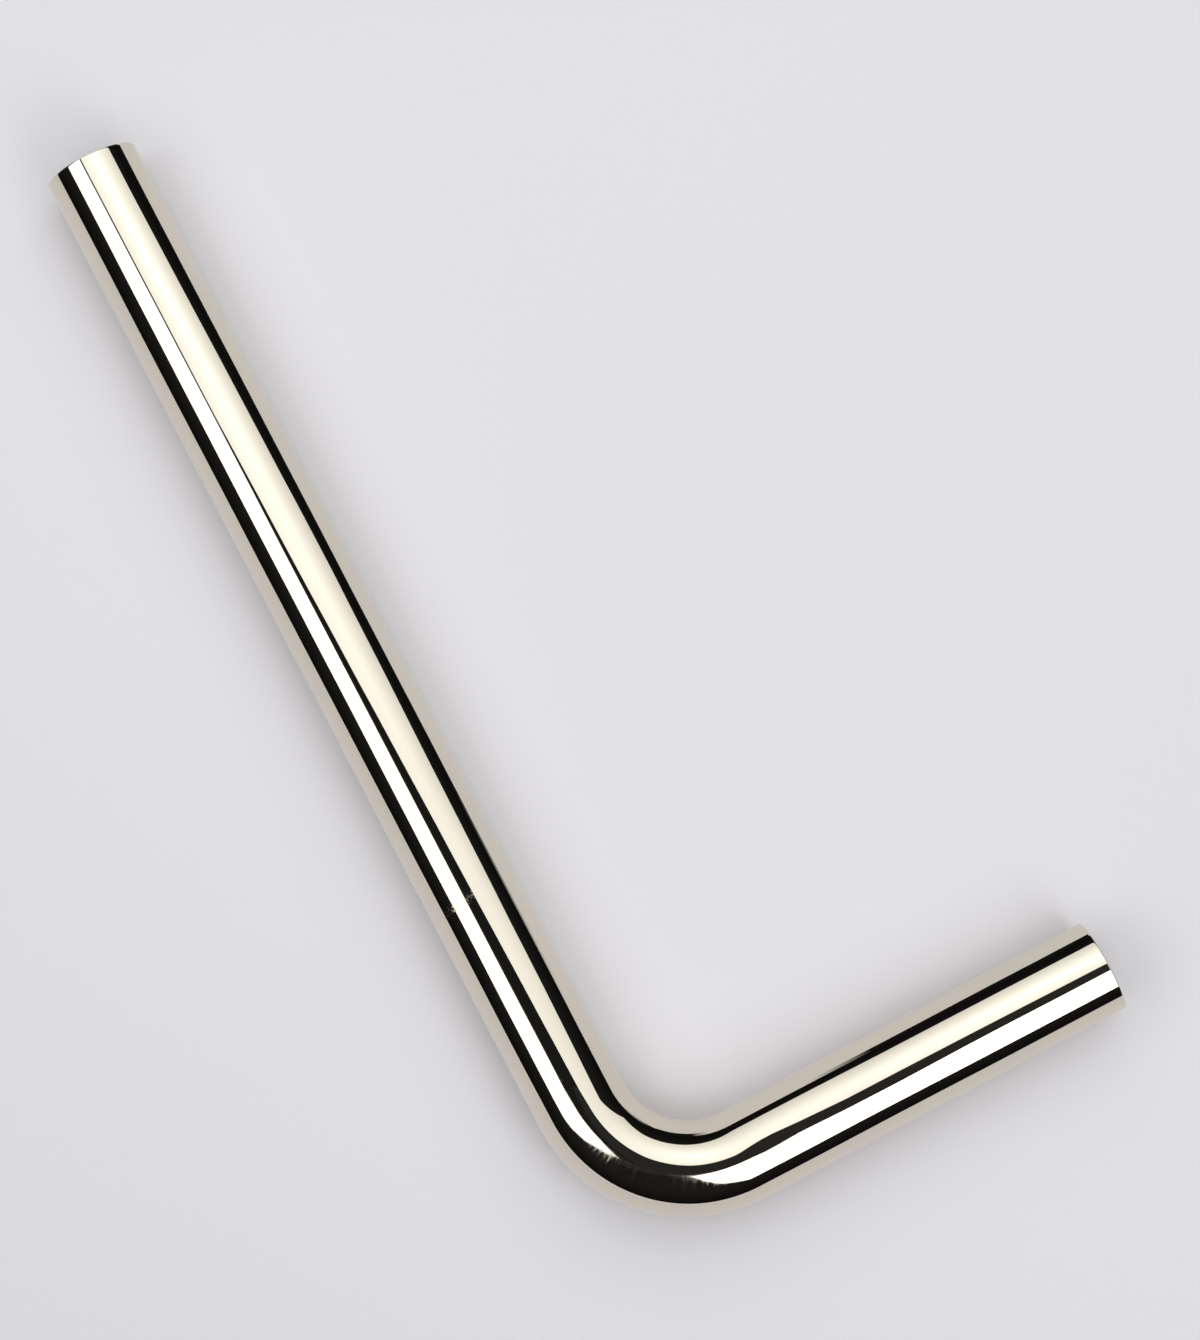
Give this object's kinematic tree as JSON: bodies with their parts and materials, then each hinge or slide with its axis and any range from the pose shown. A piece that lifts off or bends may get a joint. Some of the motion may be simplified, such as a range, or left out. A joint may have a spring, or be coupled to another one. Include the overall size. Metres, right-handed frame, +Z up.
{
  "type": "flush pipe",
  "caption": "Nickel-plated brass tube with a square bend that carries flush water from a low-level cistern down and across to the pan.",
  "frame": {"origin": "on the table, at the middle of the pipe's footprint", "axes": "+Z up; the pipe lies flat with its long leg along +Y to the cistern end and its short leg along +X to the pan end"},
  "size_m": [0.2286, 0.489, 0.0379],
  "materials": {
    "nickel": "polished nickel plate on brass"
  },
  "bodies": {
    "root": {"flush_pipe": "nickel"}
  },
  "joints": []
}
